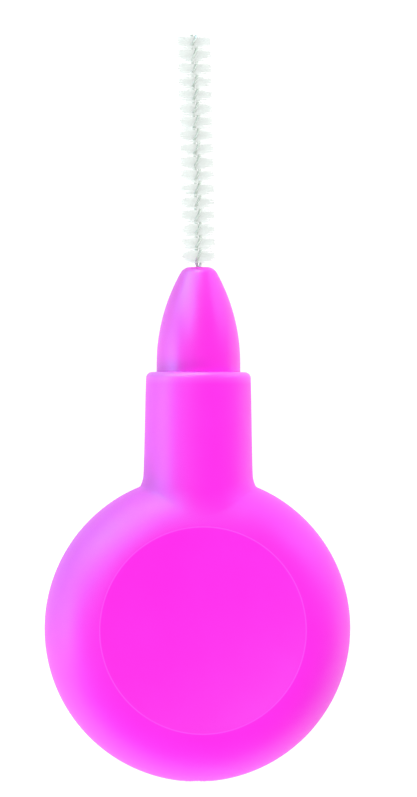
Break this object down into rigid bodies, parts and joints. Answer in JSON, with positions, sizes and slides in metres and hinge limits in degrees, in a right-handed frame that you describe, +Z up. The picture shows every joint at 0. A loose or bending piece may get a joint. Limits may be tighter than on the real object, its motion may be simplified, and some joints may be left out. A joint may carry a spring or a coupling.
{
  "type": "interdental brush",
  "caption": "Interdental brush: soft round disc grip with finger dishes over a hard bullet-nosed holder, and a twisted-wire brush of nylon bristles that bends at the nose.",
  "frame": {"origin": "on the table, under the middle of the part's length, where it lies on the rim of its lower dish", "axes": "+Y along the brush from the grip to the wire's tip, +Z up through the grip's faces, +X to the right seen from above with the brush pointing away"},
  "size_m": [0.02, 0.0488, 0.008],
  "materials": {
    "grip_soft": "soft thermoplastic elastomer, satin",
    "holder_plastic": "moulded polypropylene, satin",
    "wire_steel": "coated stainless wire, satin",
    "bristle_nylon": "translucent nylon filament"
  },
  "bodies": {
    "handle": {"grip": "grip_soft", "brush_holder": "holder_plastic", "wire_anchor": "wire_steel"},
    "brush": {"wire_bend_zone": "wire_steel", "wire_strand_a": "wire_steel", "wire_strand_b": "wire_steel", "bristle_row_01": "bristle_nylon", "bristle_row_02": "bristle_nylon", "bristle_row_03": "bristle_nylon", "bristle_row_04": "bristle_nylon", "bristle_row_05": "bristle_nylon", "bristle_row_06": "bristle_nylon", "bristle_row_07": "bristle_nylon", "bristle_row_08": "bristle_nylon", "bristle_row_09": "bristle_nylon", "bristle_row_10": "bristle_nylon", "bristle_row_11": "bristle_nylon", "bristle_row_12": "bristle_nylon", "bristle_row_13": "bristle_nylon", "bristle_row_14": "bristle_nylon", "bristle_row_15": "bristle_nylon", "bristle_row_16": "bristle_nylon", "bristle_row_17": "bristle_nylon"}
  },
  "joints": [
    {"name": "wire_bend", "type": "hinge", "parent": "handle", "child": "brush", "pos_m": [0, 0.00975, 0.004], "axis": [0, 0, 1], "range_deg": [-45, 45], "deforming": ["wire_bend_zone", "bristle_row_01"]}
  ]
}
